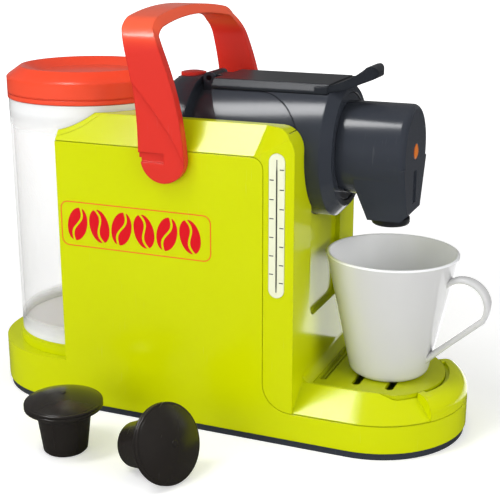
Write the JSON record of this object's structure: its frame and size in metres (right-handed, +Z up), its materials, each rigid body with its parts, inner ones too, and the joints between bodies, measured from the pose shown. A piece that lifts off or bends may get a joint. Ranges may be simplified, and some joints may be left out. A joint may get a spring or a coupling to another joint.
{
  "type": "toy coffee maker",
  "caption": "Toy capsule coffee maker with lift-off water tank, hinged lever over a capsule chamber, carry handle, drip grille, mug and loose capsules.",
  "frame": {"origin": "middle of the underside of the bottom plate", "axes": "+X towards the spout, +Y to the right side as seen from the tank, +Z up"},
  "size_m": [0.2924, 0.1819, 0.2234],
  "materials": {
    "lime_plastic": "smooth moulded plastic with a soft gloss",
    "black_plastic": "polished black plastic",
    "dark_plastic": "satin dark plastic",
    "red_plastic": "glossy moulded plastic",
    "white_plastic": "glossy white plastic",
    "clear_plastic": "clear moulded plastic",
    "clear_tube": "soft milky tube",
    "gauge_plastic": "pale translucent strip",
    "lens_plastic": "tinted lens",
    "capsule_plastic": "dark glossy plastic",
    "seal_rubber": "soft seal",
    "steel": "zinc-plated steel",
    "cell_metal": "plain metal can; aluminium stands for the true density of cells and motor",
    "board": "printed circuit board"
  },
  "bodies": {
    "machine": {"bottom_plate": "black_plastic", "battery_door": "black_plastic", "door_screw": "steel", "plate_screws": "steel", "battery_box": "dark_plastic", "batteries": "cell_metal", "battery_contacts": "steel", "left_housing": "lime_plastic", "right_housing": "lime_plastic", "tank_guard": "lime_plastic", "top_deck": "lime_plastic", "side_screws": "steel", "front_frame": "lime_plastic", "drip_cup": "dark_plastic", "water_gauge": "gauge_plastic", "tank_collar": "lime_plastic", "head_barrel": "black_plastic", "head_rear_cap": "black_plastic", "head_hood": "black_plastic", "front_ring": "black_plastic", "spout_housing": "black_plastic", "outlet_nozzle": "dark_plastic", "spout_lens": "lens_plastic", "capsule_chamber": "dark_plastic", "lever_pin": "steel", "button_spring": "steel", "pump_motor": "cell_metal", "pump_body": "dark_plastic", "intake_tube": "clear_tube", "delivery_tube": "clear_tube", "circuit_board": "board", "speaker": "dark_plastic"},
    "handle": {"carry_handle": "red_plastic", "pivot_screws": "steel"},
    "tank": {"water_tank": "clear_plastic", "tank_valve": "dark_plastic"},
    "tank_lid": {"tank_lid": "red_plastic", "lid_seal": "seal_rubber"},
    "lever": {"lever": "black_plastic", "lever_plunger": "dark_plastic"},
    "button": {"power_button": "red_plastic"},
    "grille": {"drip_grille": "lime_plastic"},
    "mug": {"mug": "white_plastic"},
    "capsule_a": {"capsule_upright": "capsule_plastic"},
    "capsule_b": {"capsule_lying": "capsule_plastic"},
    "impeller": {"pump_impeller": "white_plastic"}
  },
  "joints": [
    {"name": "handle_pivot", "type": "hinge", "parent": "machine", "child": "handle", "pos_m": [-0.0105, 0, 0.15], "axis": [0, 1, 0], "range_deg": [-20, 8]},
    {"name": "tank_lift_off", "type": "slide", "parent": "machine", "child": "tank", "axis": [-0.866, 0, 0.5], "range_m": [0, 0.14]},
    {"name": "lid_pull", "type": "slide", "parent": "tank", "child": "tank_lid", "axis": [0, 0, 1], "range_m": [0, 0.006]},
    {"name": "lever_hinge", "type": "hinge", "parent": "machine", "child": "lever", "pos_m": [-0.005, 0, 0.186], "axis": [0, -1, 0], "range_deg": [0, 65]},
    {"name": "button_press", "type": "slide", "parent": "machine", "child": "button", "axis": [0, 0, -1], "range_m": [0, 0.0018], "stiffness_N_per_m": 400, "springref_m": -0.001, "deforming": ["button_spring"]},
    {"name": "grille_lift", "type": "slide", "parent": "machine", "child": "grille", "axis": [0, 0, 1], "range_m": [0, 0.01]},
    {"name": "mug_take", "type": "slide", "parent": "grille", "child": "mug", "axis": [0.9659, 0, 0.2588], "range_m": [0, 0.12]},
    {"name": "capsule_a_lift", "type": "slide", "parent": "machine", "child": "capsule_a", "axis": [0, 0, 1], "range_m": [0, 0.02]},
    {"name": "capsule_b_lift", "type": "slide", "parent": "machine", "child": "capsule_b", "axis": [0, 0, 1], "range_m": [0, 0.02]},
    {"name": "impeller_spin", "type": "hinge", "parent": "machine", "child": "impeller", "pos_m": [-0.003, 0.02, 0.044], "axis": [1, 0, 0], "continuous": true}
  ]
}
